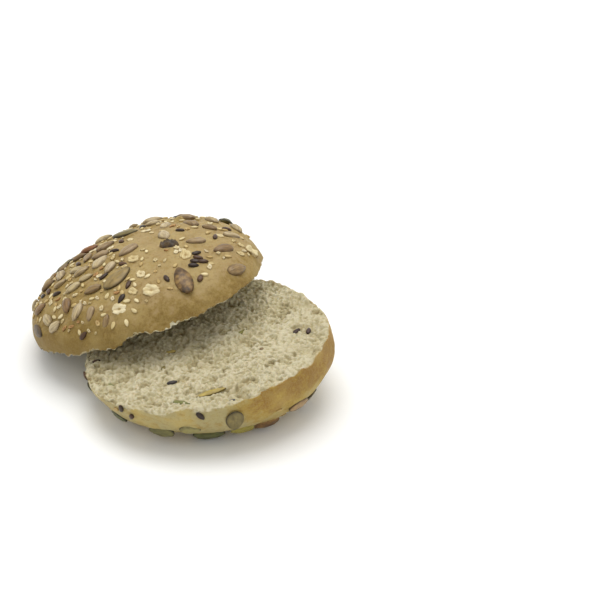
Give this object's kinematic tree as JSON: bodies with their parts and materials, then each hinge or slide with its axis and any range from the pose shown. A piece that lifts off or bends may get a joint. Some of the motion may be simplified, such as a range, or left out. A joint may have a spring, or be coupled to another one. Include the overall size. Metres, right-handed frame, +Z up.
{
  "type": "bread roll",
  "caption": "Round seeded bread roll sliced through and opened: the domed upper half leans on the lower half, whose soft cut face looks up.",
  "frame": {"origin": "on the table, under the middle of the whole object's bounding box", "axes": "+Z up; the lower half lies at -Y and +X, and the upper half leans on it from -X and +Y"},
  "size_m": [0.1358, 0.1546, 0.0567],
  "materials": {
    "crust": null,
    "crumb": null,
    "sunflower_kernel": "satin grey-beige kernel with fine lengthwise ridges",
    "pumpkin_seed": "satin olive to brown seed with a thin raised rim",
    "oat_flake": "matt cream rolled flake with a crease"
  },
  "bodies": {
    "root": {"bottom_half": "crumb", "top_half": "crust", "sunflower_kernel_01": "sunflower_kernel", "sunflower_kernel_02": "sunflower_kernel", "sunflower_kernel_03": "sunflower_kernel", "sunflower_kernel_04": "sunflower_kernel", "sunflower_kernel_05": "sunflower_kernel", "sunflower_kernel_06": "sunflower_kernel", "sunflower_kernel_07": "sunflower_kernel", "sunflower_kernel_08": "sunflower_kernel", "sunflower_kernel_09": "sunflower_kernel", "sunflower_kernel_10": "sunflower_kernel", "sunflower_kernel_11": "sunflower_kernel", "sunflower_kernel_12": "sunflower_kernel", "sunflower_kernel_13": "sunflower_kernel", "sunflower_kernel_14": "sunflower_kernel", "sunflower_kernel_15": "sunflower_kernel", "sunflower_kernel_16": "sunflower_kernel", "sunflower_kernel_17": "sunflower_kernel", "sunflower_kernel_18": "sunflower_kernel", "sunflower_kernel_19": "sunflower_kernel", "sunflower_kernel_20": "sunflower_kernel", "sunflower_kernel_21": "sunflower_kernel", "sunflower_kernel_22": "sunflower_kernel", "sunflower_kernel_23": "sunflower_kernel", "sunflower_kernel_24": "sunflower_kernel", "sunflower_kernel_25": "sunflower_kernel", "sunflower_kernel_26": "sunflower_kernel", "sunflower_kernel_27": "sunflower_kernel", "sunflower_kernel_28": "sunflower_kernel", "sunflower_kernel_29": "sunflower_kernel", "sunflower_kernel_30": "sunflower_kernel", "pumpkin_seed_01": "pumpkin_seed", "pumpkin_seed_02": "pumpkin_seed", "pumpkin_seed_03": "pumpkin_seed", "pumpkin_seed_04": "pumpkin_seed", "pumpkin_seed_05": "pumpkin_seed", "pumpkin_seed_06": "pumpkin_seed", "pumpkin_seed_07": "pumpkin_seed", "pumpkin_seed_08": "pumpkin_seed", "pumpkin_seed_09": "pumpkin_seed", "pumpkin_seed_10": "pumpkin_seed", "pumpkin_seed_11": "pumpkin_seed", "pumpkin_seed_12": "pumpkin_seed", "pumpkin_seed_13": "pumpkin_seed", "pumpkin_seed_14": "pumpkin_seed", "pumpkin_seed_15": "pumpkin_seed", "pumpkin_seed_16": "pumpkin_seed", "pumpkin_seed_17": "pumpkin_seed", "pumpkin_seed_18": "pumpkin_seed", "pumpkin_seed_19": "pumpkin_seed", "pumpkin_seed_20": "pumpkin_seed", "pumpkin_seed_21": "pumpkin_seed", "oat_flake_01": "oat_flake", "oat_flake_02": "oat_flake", "oat_flake_03": "oat_flake", "oat_flake_04": "oat_flake", "oat_flake_05": "oat_flake", "oat_flake_06": "oat_flake"}
  },
  "joints": []
}
